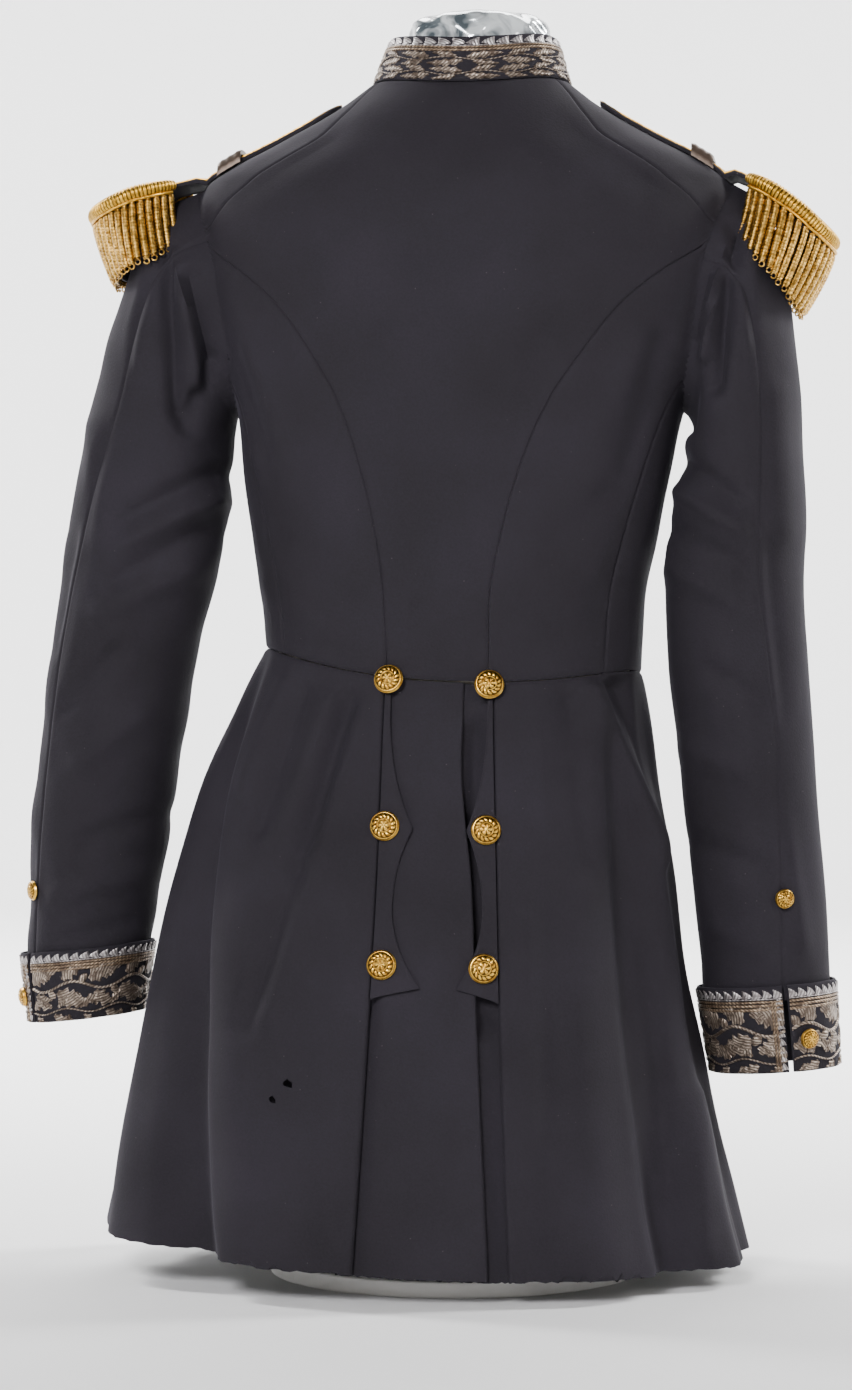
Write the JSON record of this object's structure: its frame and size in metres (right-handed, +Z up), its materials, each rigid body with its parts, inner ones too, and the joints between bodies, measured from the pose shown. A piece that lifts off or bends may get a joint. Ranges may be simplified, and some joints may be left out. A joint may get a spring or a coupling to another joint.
{
  "type": "military tunic on a limbless dress form",
  "caption": "Full-dress tunic of dark wool with embroidered stand collar and cuffs, bullion epaulettes and vented skirts, on a limbless form with a round base.",
  "frame": {"origin": "on the floor, at the middle of the stand's base, under the middle of the form", "axes": "+Z up, +Y the way the front of the tunic faces, +X to the wearer's right"},
  "size_m": [0.6355, 0.3592, 0.951],
  "materials": {
    "wool_cloth": "milled blue-black wool broadcloth with a short nap",
    "embroidered_cloth": "aged silver thread embroidery on dark cloth",
    "gold_bullion": "gilt wire wound into rolls and coils",
    "gilt_brass": "stamped and gilt, worn on the high places",
    "form_cover": "plain unbleached cotton, stretched",
    "clear_film": "crumpled clear wrapping film over white padding",
    "painted_iron": "black paint, half gloss",
    "limed_wood": "beech limed white, under matt varnish"
  },
  "bodies": {
    "root": {"back": "wool_cloth", "lap_left": "wool_cloth", "lap_right": "wool_cloth", "side_body_left": "wool_cloth", "forepart_left": "wool_cloth", "skirt_left": "wool_cloth", "flap_left": "wool_cloth", "top_sleeve_left": "wool_cloth", "under_sleeve_left": "wool_cloth", "epaulette_board_left": "wool_cloth", "epaulette_liner_left": "wool_cloth", "cuff_left": "embroidered_cloth", "passant_left": "embroidered_cloth", "epaulette_crescent_left": "gold_bullion", "epaulette_fringe_left": "gold_bullion", "back_button_left_1": "gilt_brass", "back_button_left_2": "gilt_brass", "back_button_left_3": "gilt_brass", "cuff_button_left_1": "gilt_brass", "cuff_button_left_2": "gilt_brass", "side_body_right": "wool_cloth", "forepart_right": "wool_cloth", "skirt_right": "wool_cloth", "flap_right": "wool_cloth", "top_sleeve_right": "wool_cloth", "under_sleeve_right": "wool_cloth", "epaulette_board_right": "wool_cloth", "epaulette_liner_right": "wool_cloth", "cuff_right": "embroidered_cloth", "passant_right": "embroidered_cloth", "epaulette_crescent_right": "gold_bullion", "epaulette_fringe_right": "gold_bullion", "back_button_right_1": "gilt_brass", "back_button_right_2": "gilt_brass", "back_button_right_3": "gilt_brass", "cuff_button_right_1": "gilt_brass", "cuff_button_right_2": "gilt_brass", "collar": "embroidered_cloth", "front_button_1": "gilt_brass", "front_button_2": "gilt_brass", "front_button_3": "gilt_brass", "front_button_4": "gilt_brass", "front_button_5": "gilt_brass", "front_button_6": "gilt_brass", "front_button_7": "gilt_brass", "front_button_8": "gilt_brass", "form_body": "form_cover", "form_neck": "clear_film", "stand_pole": "painted_iron", "stand_base": "limed_wood"}
  },
  "joints": []
}
